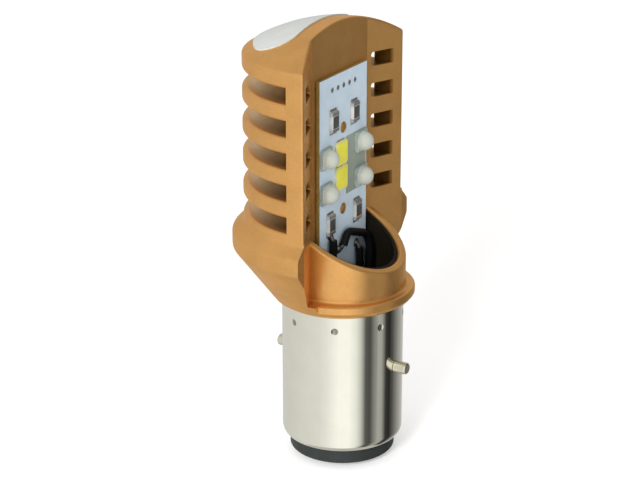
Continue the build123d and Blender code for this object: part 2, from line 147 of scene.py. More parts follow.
class BulbColours(PropertyGroup):
    """Colours of the bulb's finishes"""
    casting: colour("Casting", "Gold lacquer on the heat sink", 0.79, 0.415, 0.13)
    casting_light: colour("Casting flake", "Bright flake in the gold lacquer", 0.92, 0.64, 0.32)
    casting_sheen: colour("Casting sheen", "Tint of the gold at a flat angle", 1.0, 0.85, 0.65)
    # Painted shade and painted light: the two slot colours below stand in for the shade deep in the slots
    # and the light that reaches in towards the back.
    casting_slot_shade: colour("Casting slots", "Thin lacquer over dark metal in the slots", 0.25, 0.13, 0.028)
    casting_slot_light: colour("Casting dust", "Pale dust in the slots towards the back", 0.85, 0.76, 0.6)
    nickel: colour("Nickel", "Plated bayonet shell", 0.96, 0.955, 0.82)
    brass: colour("Pin metal", "Bayonet pins", 0.92, 0.87, 0.7)
    label: colour("Label", "Sticker on the dome", 0.66, 0.68, 0.65)
    mask: colour("Solder mask", "Front of the light board", 0.52, 0.63, 0.72)
    # Painted shadow: this dark sheet beside the yellow chips stands in for the shadow that they cast on
    # the board.
    land: colour("Heat land", "Copper that the two right LEDs share", 0.255, 0.3, 0.245)
    laminate: colour("Laminate", "Sawn edge of the light board", 0.27, 0.2, 0.055)
    ceramic: colour("Ceramic", "LED packages", 0.33, 0.39, 0.375)
    silicone: colour("Silicone", "LED lenses", 0.6, 0.63, 0.56)
    die: colour("Die", "Light die under each lens", 0.78, 0.76, 0.52)
    phosphor: colour("Phosphor", "Yellow chips", 0.78, 0.72, 0.045)
    chip_frame: colour("Chip frame", "Frame round a yellow chip", 0.72, 0.68, 0.3)
    resistor: colour("Resistor ceramic", "Body of the resistors", 0.62, 0.6, 0.54)
    coat: colour("Resistor coat", "Dark glaze on the resistors", 0.06, 0.06, 0.062)
    lead: colour("Lead", "Insulation of the leads", 0.004, 0.004, 0.004)
    strands: colour("Strands", "Bare ends of the leads", 0.22, 0.21, 0.19)
    joint: colour("Joint", "Solder on the leads' joints", 0.3, 0.3, 0.29)
    solder: colour("Solder", "Tin on pads, resistors and contacts", 0.68, 0.68, 0.66)
    # Painted shade: the dark inside of the shallow test pad hollows stands in for the depth of the holes.
    hole: colour("Test pad hole", "Inside of the test pads", 0.08, 0.095, 0.12)
    liner: colour("Liner", "Black sleeve in the tube", 0.011, 0.009, 0.006)
    insulator: colour("Insulator", "Black disc at the base", 0.022, 0.029, 0.027)
    pad_rubber: colour("Thermal pad", "Pad behind the light board", 0.35, 0.36, 0.38)
    driver_board: colour("Driver board", "Circuit board of the driver", 0.02, 0.12, 0.05)
    driver_ferrite: colour("Inductor", "Ferrite of the driver", 0.06, 0.06, 0.065)
    driver_can: colour("Capacitor", "Metal can of the driver's capacitor", 0.55, 0.56, 0.57)
    driver_epoxy: colour("Driver chips", "Epoxy of the driver's chip and diode", 0.015, 0.015, 0.016)


class BulbStage(PropertyGroup):
    """Camera, light and floor"""
    azimuth: number("Azimuth", "Camera's bearing round the bulb", math.radians(-59.47), subtype="ANGLE")
    elevation: number("Elevation", "Camera's height over the horizon", math.radians(20.53),
                      subtype="ANGLE")
    distance: length("Distance", "From the camera to the point that it looks at", 323.93)
    lens: number("Lens", "Focal length on a 36 mm wide sensor", 111.85, unit="CAMERA")
    key_power: number("Key light", "Power of the light on the left", 3.0, unit="POWER")
    fill_power: number("Fill light", "Power of the light on the right", 0.45, unit="POWER")
    top_power: number("Top light", "Power of the light overhead", 0.8, unit="POWER")
    room: number("Room", "Strength of the white room", 0.48)
    floor_glow: number("Floor glow", "Light from the floor sheet itself", 0.38)


def settings(context):
    """The sizes and colours that the user has set."""
    return context.scene.bulb_sizes, context.scene.bulb_colours


# Hands: choosing, adding and finishing pieces

def let_go():
    """Leaves edit mode and deselects every object."""
    if bpy.context.mode != "OBJECT":
        bpy.ops.object.mode_set(mode="OBJECT")
    bpy.ops.object.select_all(action="DESELECT")


def take(piece):
    """Selects one piece and nothing else."""
    let_go()
    piece.select_set(True)
    bpy.context.view_layer.objects.active = piece


def work_on(piece):
    """Opens a piece in edit mode with nothing selected."""
    take(piece)
    bpy.ops.object.mode_set(mode="EDIT")
    bpy.ops.mesh.select_all(action="DESELECT")


def pick(piece, kind, wanted):
    """Selects the vertices, edges or faces that pass a test."""
    bpy.ops.mesh.select_mode(type=kind)
    bpy.ops.mesh.select_all(action="DESELECT")
    mesh = bmesh.from_edit_mesh(piece.data)
    for part in {"VERT": mesh.verts, "EDGE": mesh.edges, "FACE": mesh.faces}[kind]:
        if wanted(part):
            part.select_set(True)
    mesh.select_flush_mode()
    bmesh.update_edit_mesh(piece.data)


def runs_deep(edge):
    """Test for edges that stand straight off the board, along Y."""
    way = edge.verts[1].co - edge.verts[0].co
    return abs(way.y) > 0.99 * way.length


def looks_forward(face):
    """Test for faces that look away from the board, to -Y."""
    return face.normal.y < -0.9


def edges_of_front(level):
    """Test for edges that lie in the plane y = level."""
    return lambda edge: all(abs(vertex.co.y - level) < NEAR for vertex in edge.verts)


def open_edge(edge):
    return edge.is_boundary


def settle(piece):
    """Applies a piece's place, turn and size to its mesh."""
    take(piece)
    bpy.ops.object.transform_apply(location=True, rotation=True, scale=True)


def settle_new(name):
    """Names and settles the piece that was just added."""
    piece = bpy.context.object
    piece.name = name
    settle(piece)
    return piece


def add_block(name, low, high):
    let_go()
    low, high = Vector(low), Vector(high)
    bpy.ops.mesh.primitive_cube_add(size=1, location=(low + high) / 2, scale=high - low)
    return settle_new(name)


def add_round(name, radius, start, end, sides=24):
    """Closed round bar between two points."""
    let_go()
    start, end = Vector(start), Vector(end)
    way = end - start
    turn = way.to_track_quat("Z", "Y").to_euler()
    bpy.ops.mesh.primitive_cylinder_add(vertices=sides, radius=radius, depth=way.length,
                                        location=(start + end) / 2, rotation=turn)
    return settle_new(name)


def add_cap(name, radius, centre, squash, sides=40, rings=20):
    """Half ball standing out of the board towards -Y, open at the back and left in edit mode."""
    let_go()
    bpy.ops.mesh.primitive_uv_sphere_add(segments=sides, ring_count=rings, radius=radius,
                                         rotation=(math.pi / 2, 0, 0))
    piece = settle_new(name)
    work_on(piece)
    bpy.ops.mesh.select_all(action="SELECT")
    bpy.ops.mesh.bisect(plane_co=(0, 0, 0), plane_no=(0, 1, 0), clear_outer=True)
    bpy.ops.mesh.select_all(action="SELECT")
    bpy.ops.transform.resize(value=(1, squash, 1), center_override=(0, 0, 0))
    bpy.ops.transform.translate(value=centre)
    return piece


def copy_to(piece, name, offset):
    """Copy with its own mesh, moved by an offset."""
    take(piece)
    bpy.ops.object.duplicate(linked=False)
    bpy.ops.transform.translate(value=offset)
    return settle_new(name)


def join(name, parts):
    """Makes several parts one piece."""
    let_go()
    for part in parts:
        part.select_set(True)
    bpy.context.view_layer.objects.active = parts[0]
    bpy.ops.object.join()
    piece = bpy.context.object
    piece.name = name
    return piece


def extrude_rim(way):
    """Draws the selected edges out along Y."""
    bpy.ops.mesh.extrude_edges_move(TRANSFORM_OT_translate={"value": (0, way, 0)})


def extrude_face(way):
    """Draws the selected face out along Y."""
    bpy.ops.mesh.extrude_region_move(TRANSFORM_OT_translate={"value": (0, way, 0)})


def close_back():
    """Closes the selected rim with a face and selects the whole piece."""
    bpy.ops.mesh.edge_face_add()
    bpy.ops.mesh.select_all(action="SELECT")


def bevel_picked(width, segments=2):
    bpy.ops.mesh.bevel(offset=width, segments=segments, affect="EDGES", clamp_overlap=True)


def coat_piece(piece, *finishes):
    """Gives a piece its finishes in order; its faces take the first."""
    for finish in finishes:
        piece.data.materials.append(finish.material)


def paint(piece, index):
    """Gives the selected faces another of the piece's finishes."""
    piece.active_material_index = index
    bpy.ops.object.material_slot_assign()


def complete(piece, replaced=(), smooth=35):
    """Brings a piece to metres, smooths it and hangs it on the bulb's body."""
    take(piece)
    piece.scale = (MM, MM, MM)
    settle(piece)
    bpy.ops.object.shade_smooth_by_angle(angle=math.radians(smooth))
    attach(piece, "root")
    if replaced:
        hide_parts(*replaced)


# Finishes

def add_node(tree, kind, settings=None, **sockets):
    """Adds a shader node, with settings by attribute and values by socket name."""
    node = tree.nodes.new(kind)
    for key, value in (settings or {}).items():
        setattr(node, key, value)
    for key, value in sockets.items():
        node.inputs[key.replace("_", " ")].default_value = value
    return node


def set_stops(ramp, stops):
    """Fills a colour ramp; stops are (position, colour)."""
    marks = ramp.color_ramp.elements
    while len(marks) < len(stops):
        marks.new(0.5)
    for mark, (position, value) in zip(marks, stops):
        mark.position = position
        mark.color = rgba(value)


def rgba(value):
    return (*value, 1.0)


def shade(value, factor):
    """A colour made lighter or darker."""
    return tuple(min(1.0, part * factor) for part in value)


class Finish:
    """One material on Object coordinates: a shader and the patterns that feed it."""

    def __init__(self, name):
        self.material = bpy.data.materials.new(name)
        self.material.use_nodes = True
        self.tree = self.material.node_tree
        self.shader = next(node for node in self.tree.nodes if node.type == "BSDF_PRINCIPLED")
        self.place = add_node(self.tree, "ShaderNodeTexCoord").outputs["Object"]

    def link(self, source, target):
        self.tree.links.new(source, target)

    def set(self, **sockets):
        """Sets constants on the shader's own sockets."""
        for key, value in sockets.items():
            self.shader.inputs[key.replace("_", " ")].default_value = value
        return self

    def stretched(self, scale):
        """Object coordinates scaled along each axis."""
        mapping = add_node(self.tree, "ShaderNodeMapping", Scale=scale)
        self.link(self.place, mapping.inputs["Vector"])
        return mapping.outputs["Vector"]

    def noise(self, size, detail=2.0, place=None):
        """Noise whose features are about size millimetres across."""
        texture = add_node(self.tree, "ShaderNodeTexNoise", Scale=1 / (size * MM), Detail=detail,
                           Roughness=0.55)
        self.link(place or self.place, texture.inputs["Vector"])
        return texture.outputs["Fac"]

    def ramp(self, source, *stops):
        """Colour ramp; stops are (position, colour)."""
        node = add_node(self.tree, "ShaderNodeValToRGB")
        set_stops(node, stops)
        self.link(source, node.inputs["Fac"])
        return node.outputs["Color"]

    def mottled(self, source, base, dark, light):
        """A colour that a pattern varies between two shades of it."""
        return self.ramp(source, (0.3, shade(base, dark)), (0.7, shade(base, light)))

    def span(self, source, low, high, start=0.3, end=0.7):
        """Maps a pattern's values from start..end to low..high."""
        node = add_node(self.tree, "ShaderNodeMapRange", From_Min=start, From_Max=end,
                        To_Min=low, To_Max=high)
        self.link(source, node.inputs["Value"])
        return node.outputs["Result"]

    def rising(self, source, start, end):
        """Goes from 0 to 1 between two places, given in millimetres."""
        return self.span(source, 0.0, 1.0, start * MM, end * MM)

    def falling(self, source, start, end):
        """Goes from 1 to 0 between two places, given in millimetres."""
        return self.span(source, 1.0, 0.0, start * MM, end * MM)

    def blend(self, factor, first, second):
        """Mixes two colours, each a socket or a plain colour."""
        node = add_node(self.tree, "ShaderNodeMix", {"data_type": "RGBA"})
        self.link(factor, node.inputs[0])
        for socket, value in ((node.inputs[6], first), (node.inputs[7], second)):
            if isinstance(value, NodeSocket):
                self.link(value, socket)
            else:
                socket.default_value = rgba(value)
        return node.outputs[2]

    def colour(self, source):
        self.link(source, self.shader.inputs["Base Color"])

    def roughness(self, source):
        self.link(source, self.shader.inputs["Roughness"])

    def bump(self, source, height, strength=0.5):
        """Bump of a height in millimetres, added to any bump already there."""
        node = add_node(self.tree, "ShaderNodeBump", Strength=strength, Distance=height * MM)
        self.link(source, node.inputs["Height"])
        normal = self.shader.inputs["Normal"]
        if normal.is_linked:
            self.link(normal.links[0].from_socket, node.inputs["Normal"])
        self.link(node.outputs["Normal"], normal)

    def product(self, first, second):
        node = add_node(self.tree, "ShaderNodeMath", {"operation": "MULTIPLY"})
        self.link(first, node.inputs[0])
        self.link(second, node.inputs[1])
        return node.outputs[0]

    def size_of(self, source):
        """A value without its sign."""
        node = add_node(self.tree, "ShaderNodeMath", {"operation": "ABSOLUTE"})
        self.link(source, node.inputs[0])
        return node.outputs[0]

    def part(self, source, axis):
        """One part of a vector, "X" to "Z"."""
        parts = add_node(self.tree, "ShaderNodeSeparateXYZ")
        self.link(source, parts.inputs["Vector"])
        return parts.outputs[axis]

    def along(self, axis):
        """Place along one axis of the bulb, in metres."""
        return self.part(self.place, axis)

    def facing(self, axis):
        """How squarely the surface looks along one axis, to either side."""
        geometry = add_node(self.tree, "ShaderNodeNewGeometry")
        return self.size_of(self.part(geometry.outputs["True Normal"], axis))

    def axis_distance(self):
        """Distance from the bulb's axis, in metres."""
        flat = add_node(self.tree, "ShaderNodeVectorMath", {"operation": "MULTIPLY"})
        flat.inputs[1].default_value = (1, 1, 0)
        self.link(self.place, flat.inputs[0])
        reach = add_node(self.tree, "ShaderNodeVectorMath", {"operation": "LENGTH"})
        self.link(flat.outputs[0], reach.inputs[0])
        return reach.outputs["Value"]

    def fold(self, slope):
        """Y plus slope times the distance from the middle plane, in metres: level on the two wings."""
        level = add_node(self.tree, "ShaderNodeMath", {"operation": "MULTIPLY_ADD"})
        level.inputs[1].default_value = slope
        self.link(self.size_of(self.along("X")), level.inputs[0])
        self.link(self.along("Y"), level.inputs[2])
        return level.outputs[0]


def dress(finish, *nodes):
    """Gives solids of the frame a finish."""
    for node in nodes:
        slots = NODES[node].material_slots
        if not slots:
            NODES[node].data.materials.append(finish.material)
        for slot in slots:
            slot.material = finish.material


def gold_lacquer(colours):
    """Gold lacquer over a sand-textured casting, with fine flake; painted shade in the slots, turning to
    painted light towards the back.
    """
    made = Finish("gold_lacquer")
    blotch = made.mottled(made.noise(5.0, detail=3.0), colours.casting, 0.93, 1.07)
    flake = made.span(made.noise(0.16, detail=1.0), 0.0, 0.35, 0.52, 0.72)
    bright = made.blend(flake, blotch, colours.casting_light)
    # Painted shade and light: the slots are coloured dark behind the wings and paler towards the back,
    # standing in for the shade in them and the light that reaches in.
    behind = made.rising(made.fold(WING_SLOPE), WING_LEVEL + WING_FADE[0], WING_LEVEL + WING_FADE[1])
    within = made.falling(made.axis_distance(), *RIM_FADE)
    over = made.rising(made.along("Z"), SLOTS_LOW - SLOT_FADE, SLOTS_LOW)
    under = made.falling(made.along("Z"), SLOTS_HIGH, SLOTS_HIGH + SLOT_FADE)
    recess = made.product(made.product(behind, within), made.product(over, under))
    # Painted shade near the wings, grading to painted light towards the back
    to_back = made.rising(made.along("Y"), *SLOT_LIGHT_RUN)
    bare = made.ramp(to_back, (0.0, colours.casting_slot_shade), (1.0, colours.casting_slot_light))
    made.colour(made.blend(recess, bright, bare))
    made.roughness(made.span(made.noise(1.2), 0.3, 0.4))
    made.bump(made.noise(0.35, detail=3.0), 0.012)
    made.bump(made.noise(2.5), 0.03, strength=0.2)
    return made.set(Metallic=0.85, Specular_Tint=rgba(colours.casting_sheen))


def spun_nickel(colours):
    """Bright nickel with faint rings from spinning, hazy marks and a darker colour in the staking dents.
    """
    made = Finish("spun_nickel")
    base = colours.nickel
    rings = made.noise(1.0, place=made.stretched((0.03, 0.03, 12.0)))
    haze = made.noise(3.5, detail=4.0)
    plating = made.ramp(haze, (0.35, shade(base, 0.96)), (0.65, base))
    dent = made.falling(made.axis_distance(), SHELL_RADIUS - DENT_FULL, SHELL_RADIUS - DENT_GONE)
    near_top = made.rising(made.along("Z"), *DENT_LEVEL)
    made.colour(made.blend(made.product(dent, near_top), plating, shade(base, 0.4)))
    made.roughness(made.span(haze, 0.05, 0.09))
    made.bump(rings, 0.0008, strength=0.3)
    return made.set(Metallic=1.0)


def turned_brass(colours):
    """Pale pin metal with fine turning lines."""
    made = Finish("turned_pin_metal")
    lines = made.noise(0.6, place=made.stretched((0.2, 9.0, 0.2)))
    made.colour(made.mottled(lines, colours.brass, 0.85, 1.0))
    made.roughness(made.span(lines, 0.16, 0.3))
    made.bump(lines, 0.002)
    return made.set(Metallic=1.0)


def label_film(colours):
    """Plain film with a fine satin grain."""
    made = Finish("label_film")
    made.colour(made.mottled(made.noise(2.2, detail=3.0), colours.label, 0.95, 1.04))
    made.roughness(made.span(made.noise(0.3), 0.3, 0.42))
    made.bump(made.noise(0.12), 0.003)
    return made


def masked_board(colours):
    """Pale solder mask in front and behind, bare laminate on the sawn edges."""
    made = Finish("masked_board")
    weave = made.noise(0.5)
    front = made.mottled(made.noise(2.8, detail=3.0), colours.mask, 0.94, 1.05)
    glass = made.noise(0.9, detail=3.0, place=made.stretched((1.0, 7.0, 1.0)))
    edge = made.mottled(glass, colours.laminate, 0.7, 1.35)
    facing = made.facing("Y")
    made.colour(made.blend(facing, edge, front))
    made.roughness(made.span(facing, 0.75, 0.34, 0.0, 1.0))
    made.bump(weave, 0.004, strength=0.4)
    return made


def lens_silicone(colours):
    """Milky clear silicone over the die."""
    made = Finish("lens_silicone")
    made.colour(made.mottled(made.noise(1.5), colours.silicone, 0.96, 1.0))
    made.roughness(made.span(made.noise(0.4), 0.1, 0.18))
    return made.set(Transmission_Weight=0.2, IOR=1.42)


def plain_finish(name, base, rough, grain, relief, metallic=0.0, sheen=0.5, mottle=0.15):
    """Moulded or coated surface: a colour with faint blotches, a span of roughness and a grain.

    grain is the size of the grain and relief its height, both in millimetres.
    """
    made = Finish(name)
    made.colour(made.mottled(made.noise(grain * 8, detail=3.0), base, 1 - mottle, 1 + mottle))
    made.roughness(made.span(made.noise(grain * 3), *rough))
    made.bump(made.noise(grain), relief)
    return made.set(Metallic=metallic, Specular_IOR_Level=sheen)


# Pieces

class BULB_OT_casting(Operator):
    """Lacquers the finned heat sink and finishes the sticker on its dome"""
    bl_idname = "bulb.casting"
    bl_label = "Casting and label"

    def execute(self, context):
        colours = context.scene.bulb_colours
        dress(gold_lacquer(colours), "heat_sink")
        dress(label_film(colours), "top_label")
        return {"FINISHED"}


class BULB_OT_base(Operator):
    """Plates the bayonet shell and its pins and finishes the black disc with its contacts"""
    bl_idname = "bulb.base"
    bl_label = "Bayonet base"

    def execute(self, context):
        colours = context.scene.bulb_colours
        dress(spun_nickel(colours), "base_shell")
        dress(turned_brass(colours), "bayonet_pin_front", "bayonet_pin_back")
        dress(plain_finish("contact_solder", colours.solder, rough=(0.25, 0.45), grain=0.4, relief=0.02,
                           metallic=1.0), "contact_left", "contact_right")
        dress(plain_finish("black_disc", colours.insulator, rough=(0.45, 0.6), grain=0.25, relief=0.008),
              "insulator_disc")
        return {"FINISHED"}


class BULB_OT_driver(Operator):
    """Finishes the black liner, the thermal pad and the driver that stands hidden in the base"""
    bl_idname = "bulb.driver"
    bl_label = "Liner and driver"

    def execute(self, context):
        colours = context.scene.bulb_colours
        dress(plain_finish("liner_plastic", colours.liner, rough=(0.5, 0.65), grain=0.3, relief=0.006,
                           sheen=0.15), "liner_sleeve")
        for node, name, base, rough, grain, relief in (
            ("thermal_pad", "pad_rubber", colours.pad_rubber, (0.7, 0.85), 0.2, 0.008),
            ("driver_board", "driver_laminate", colours.driver_board, (0.35, 0.5), 0.4, 0.004),
            ("driver_inductor", "driver_ferrite", colours.driver_ferrite, (0.5, 0.7), 0.3, 0.01),
        ):
            dress(plain_finish(name, base, rough, grain, relief), node)
        dress(plain_finish("driver_can", colours.driver_can, rough=(0.25, 0.4), grain=0.5, relief=0.004,
                           metallic=1.0), "driver_capacitor")
        dress(plain_finish("driver_epoxy", colours.driver_epoxy, rough=(0.4, 0.55), grain=0.2,
                           relief=0.005), "driver_chip", "driver_diode")
        return {"FINISHED"}


class BULB_OT_board(Operator):
    """Finishes the light board and lays its tinned pads and a dark sheet of painted shadow beside the
    yellow chips
    """
    bl_idname = "bulb.board"
    bl_label = "Light board"

    # In millimetres: how far a pad stays inside an LED's sides and runs in under a resistor's end,
    # and the radius of its corners
    inside_led = 0.5
    under_end = 0.7
    corner = 0.18
    # Share of a pad's height that its front edge is rounded by
    edge = 0.4

    def execute(self, context):
        sizes, colours = settings(context)
        dress(masked_board(colours), "led_board")
        rise = sizes.pad_height / MM
        margin = sizes.pad_margin / MM
        reach = sizes.fillet_reach / MM
        pads = []
        for number in LEDS:
            low, high = limits(f"led_base_{number}")
            pads.append(self.pad((low.x - margin, low.z + self.inside_led),
                                 (high.x + margin, high.z - self.inside_led), rise))
        for level in ("upper", "lower"):
            low, high = limits(f"yellow_led_{level}")
            pads.append(self.pad((low.x + self.inside_led, low.z - margin),
                                 (high.x - self.inside_led, high.z + margin), rise))
            for side in ("left", "right"):
                low, high = limits(f"resistor_{level}_{side}")
                for bottom, top in ((low.z - reach, low.z + self.under_end),
                                    (high.z - self.under_end, high.z + reach)):
                    pads.append(self.pad((low.x - margin / 2, bottom), (high.x + margin / 2, top), rise))
        piece = join("board_pads", pads)
        coat_piece(piece, plain_finish("tinned_pads", colours.solder, rough=(0.3, 0.45), grain=0.5,
                                       relief=0.01, metallic=0.9))
        complete(piece)
        # Painted shadow: a dark sheet beside the yellow chips stands in for the shadow that they cast on
        # the board.
        land = self.land(rise / 2, margin)
        coat_piece(land, plain_finish("heat_land", colours.land, rough=(0.4, 0.55), grain=0.5,
                                      relief=0.006, mottle=0.06))
        complete(land)
        return {"FINISHED"}

    def land(self, rise, margin):
        """Dark sheet of painted shadow beside the yellow chips, under the two right LEDs, from the chips
        to the board's edge.
        """
        packages = [limits(f"led_base_{number}") for number in LEDS]
        bottom = min(low.z for low, high in packages) - margin
        top = max(high.z for low, high in packages) + margin
        left = limits("yellow_led_upper")[1].x + SHADOW_SHEET_GAP
        piece = self.pad((left, bottom), (BOARD_HIGH.x - margin, top), rise)
        piece.name = "heat_land"
        return piece

    def pad(self, low, high, rise):
        """Thin round-cornered pad between two corners (x, z)."""
        piece = add_block("pad", (low[0], -rise, low[1]), (high[0], 0, high[1]))
        work_on(piece)
        pick(piece, "EDGE", runs_deep)
        bevel_picked(self.corner, 3)
        pick(piece, "EDGE", edges_of_front(-rise))
        bevel_picked(rise * self.edge)
        return piece


class BULB_OT_test_pads(Operator):
    """Sets a row of small plated test holes along the top of the board"""
    bl_idname = "bulb.test_pads"
    bl_label = "Test pads"

    # The row: its number of pads, and in millimetres their pitch and how far they lie under the edge
    count = 5
    pitch = 1.8
    below_edge = 2.2
    # Shares of a pad's radius that its ring and its slope take, and of its height that its hole is deep
    ring = 0.2
    slope = 0.25
    depth = 0.6

    def execute(self, context):
        sizes, colours = settings(context)
        radius = sizes.via_radius / MM
        rise = sizes.pad_height / MM
        left = -self.pitch * (self.count - 1) / 2
        level = BOARD_HIGH.z - self.below_edge
        first = add_round("test_pads", radius, (left, 0, level), (left, -rise, level))
        # Painted shade: the second finish darkens the inside of each shallow hollow, standing in for the
        # depth of the hole.
        coat_piece(first,
                   plain_finish("test_pad_tin", colours.solder, rough=(0.3, 0.45), grain=0.3,
                                relief=0.01, metallic=0.9),
                   plain_finish("test_pad_hole", colours.hole, rough=(0.6, 0.8), grain=0.2, relief=0.005))
        work_on(first)
        pick(first, "FACE", looks_forward)
        bpy.ops.mesh.inset(thickness=radius * self.ring)
        bpy.ops.mesh.inset(thickness=radius * self.slope, depth=-rise * self.depth)
        paint(first, 1)
        row = [first]
        for number in range(1, self.count):
            row.append(copy_to(first, "test_pad", (self.pitch * number, 0, 0)))
        complete(join("test_pads", row))
        return {"FINISHED"}


class BULB_OT_leds(Operator):
    """Models one LED package with its die and lens, and copies it to the four places"""
    bl_idname = "bulb.leds"
    bl_label = "LED packages"

    # Shares of the package's step: how far its raised square is set in, and how round its edge is
    square_inset = 1.2
    square_edge = 0.4
    # Share of a lens's collar that is straight, and how much wider its foot is
    straight = 0.6
    flare = 1.06
    # The die in millimetres: how far it stands out of the package and sinks in, its rim and its crown
    die_rise = 0.16
    die_sunk = 0.02
    die_rim = 0.08
    die_crown = 0.03

    def execute(self, context):
        sizes, colours = settings(context)
        low, high = limits("led_base_1")
        middle = (low + high) / 2
        package = self.package(low, high, sizes, colours)
        lens = self.lens(*limits("led_lens_1"), colours)
        die = self.die(middle, low.y, sizes, colours)
        made = {1: (package, lens, die)}
        for number in LEDS[1:]:
            other_low, other_high = limits(f"led_base_{number}")
            offset = (other_low + other_high) / 2 - middle
            made[number] = (
                copy_to(package, f"led_package_{number}", offset),
                copy_to(lens, f"led_dome_{number}", offset),
                copy_to(die, f"led_die_{number}", offset),
            )
        for number, (body, dome, plate) in made.items():
            complete(body, [f"led_base_{number}"])
            complete(dome, [f"led_lens_{number}"])
            complete(plate)
        return {"FINISHED"}

    def package(self, low, high, sizes, colours):
        """Square ceramic body with round corners and a raised square on top."""
        step = sizes.package_step / MM
        front = low.y + step
        piece = add_block("led_package_1", (low.x, front, low.z), high)
        coat_piece(piece, plain_finish("led_ceramic", colours.ceramic, rough=(0.35, 0.5), grain=0.15,
                                       relief=0.004))
        work_on(piece)
        pick(piece, "EDGE", runs_deep)
        bevel_picked(sizes.package_corner / MM, 4)
        pick(piece, "FACE", looks_forward)
        bpy.ops.mesh.inset(thickness=step * self.square_inset)
        extrude_face(low.y - front)
        pick(piece, "EDGE", edges_of_front(low.y))
        bevel_picked(step * self.square_edge)
        return piece

    def lens(self, low, high, colours):
        """Dome of silicone on a short collar."""
        radius = (high.x - low.x) / 2
        collar = (high.y - low.y) - radius
        centre = Vector(((low.x + high.x) / 2, high.y - collar, (low.z + high.z) / 2))
        piece = add_cap("led_dome_1", radius, centre, 1.0)
        coat_piece(piece, lens_silicone(colours))
        pick(piece, "EDGE", open_edge)
        extrude_rim(collar * self.straight)
        extrude_rim(collar * (1 - self.straight))
        bpy.ops.transform.resize(value=(self.flare, 1, self.flare),
                                 center_override=(centre.x, high.y, centre.z))
        close_back()
        bpy.ops.mesh.normals_make_consistent(inside=False)
        return piece

    def die(self, middle, front, sizes, colours):
        """Light die: a thin square plate under the lens."""
        half = sizes.die_side / MM / 2
        piece = add_block("led_die_1", (middle.x - half, front - self.die_rise, middle.z - half),
                          (middle.x + half, front + self.die_sunk, middle.z + half))
        coat_piece(piece, plain_finish("die_phosphor", colours.die, rough=(0.5, 0.6), grain=0.1,
                                       relief=0.004))
        work_on(piece)
        pick(piece, "FACE", looks_forward)
        bpy.ops.mesh.inset(thickness=self.die_rim, depth=self.die_crown)
        return piece


class BULB_OT_yellow_chips(Operator):
    """Models one framed yellow chip and copies it to the second place"""
    bl_idname = "bulb.yellow_chips"
    bl_label = "Yellow chips"

    # In millimetres: how far the phosphor field stands over its frame, and the gap round it
    crown = 0.07
    gap = 0.02
    # Share of the crown that the field's edge is rounded by
    edge = 0.8

    def execute(self, context):
        sizes, colours = settings(context)
        low, high = limits("yellow_led_upper")
        upper = self.chip(low, high, sizes, colours)
        lower = copy_to(upper, "yellow_chip_lower", limits("yellow_led_lower")[0] - low)
        complete(upper, ["yellow_led_upper"])
        complete(lower, ["yellow_led_lower"])
        return {"FINISHED"}

    def chip(self, low, high, sizes, colours):
        """Low block with chamfered corners, a frame and a slightly crowned phosphor field."""
        front = low.y + self.crown
        piece = add_block("yellow_chip_upper", (low.x, front, low.z), high)
        coat_piece(piece,
                   plain_finish("chip_frame", colours.chip_frame, rough=(0.4, 0.55), grain=0.15,
                                relief=0.004),
                   plain_finish("chip_phosphor", colours.phosphor, rough=(0.28, 0.4), grain=0.12,
                                relief=0.006, mottle=0.05))
        work_on(piece)
        pick(piece, "EDGE", runs_deep)
        bevel_picked(sizes.chip_chamfer / MM, 1)
        pick(piece, "FACE", looks_forward)
        bpy.ops.mesh.inset(thickness=sizes.chip_frame / MM)
        extrude_face(self.crown)
        bpy.ops.mesh.inset(thickness=self.gap)
        extrude_face(-2 * self.crown)
        paint(piece, 1)
        pick(piece, "EDGE", edges_of_front(front - self.crown))
        bevel_picked(self.crown * self.edge, 3)
        return piece


